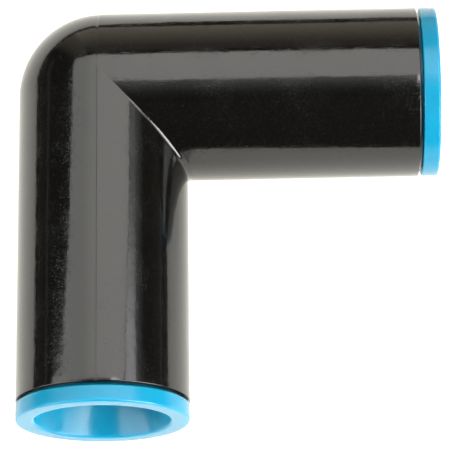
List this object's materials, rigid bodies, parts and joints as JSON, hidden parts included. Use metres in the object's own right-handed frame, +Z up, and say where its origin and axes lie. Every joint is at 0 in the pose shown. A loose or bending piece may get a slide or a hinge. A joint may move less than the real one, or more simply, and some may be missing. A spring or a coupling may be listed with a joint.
{
  "type": "push to connect elbow fitting",
  "caption": "Right-angle push to connect pipe fitting: smooth black elbow with a blue release ring, toothed grip and O-ring seal in each port.",
  "frame": {"origin": "centre of port A's pipe stop, on that port's axis: the end of an inserted pipe sits here", "axes": "the elbow lies flat, +Z up; port A opens along -Y and port B along +X; the two port axes cross at (0, 0.019, 0)"},
  "size_m": [0.0551, 0.0551, 0.0222],
  "materials": {
    "body_plastic": "moulded, gloss black",
    "ring_plastic": "moulded, satin blue",
    "collar_plastic": "moulded, matt black",
    "support_plastic": "moulded, natural white",
    "grip_steel": "stamped stainless spring steel",
    "seal_rubber": "black nitrile rubber"
  },
  "bodies": {
    "fitting": {"elbow_body": "body_plastic", "retaining_collar_a": "collar_plastic", "support_ring_a": "support_plastic", "o_ring_a": "seal_rubber", "retaining_collar_b": "collar_plastic", "support_ring_b": "support_plastic", "o_ring_b": "seal_rubber"},
    "grip_a": {"grab_ring_a": "grip_steel"},
    "release_a": {"release_ring_a": "ring_plastic"},
    "grip_b": {"grab_ring_b": "grip_steel"},
    "release_b": {"release_ring_b": "ring_plastic"}
  },
  "joints": [
    {"name": "grip_spin_a", "type": "hinge", "parent": "fitting", "child": "grip_a", "pos_m": [0, 0, 0], "axis": [0, -1, 0], "continuous": true},
    {"name": "release_slide_a", "type": "slide", "parent": "grip_a", "child": "release_a", "axis": [0, -1, 0], "range_m": [-0.0004, 0.0012], "stiffness_N_per_m": 400, "deforming": ["grab_ring_a"]},
    {"name": "grip_spin_b", "type": "hinge", "parent": "fitting", "child": "grip_b", "pos_m": [0.019, 0.019, 0], "axis": [1, 0, 0], "continuous": true},
    {"name": "release_slide_b", "type": "slide", "parent": "grip_b", "child": "release_b", "axis": [1, 0, 0], "range_m": [-0.0004, 0.0012], "stiffness_N_per_m": 400, "deforming": ["grab_ring_b"]}
  ]
}
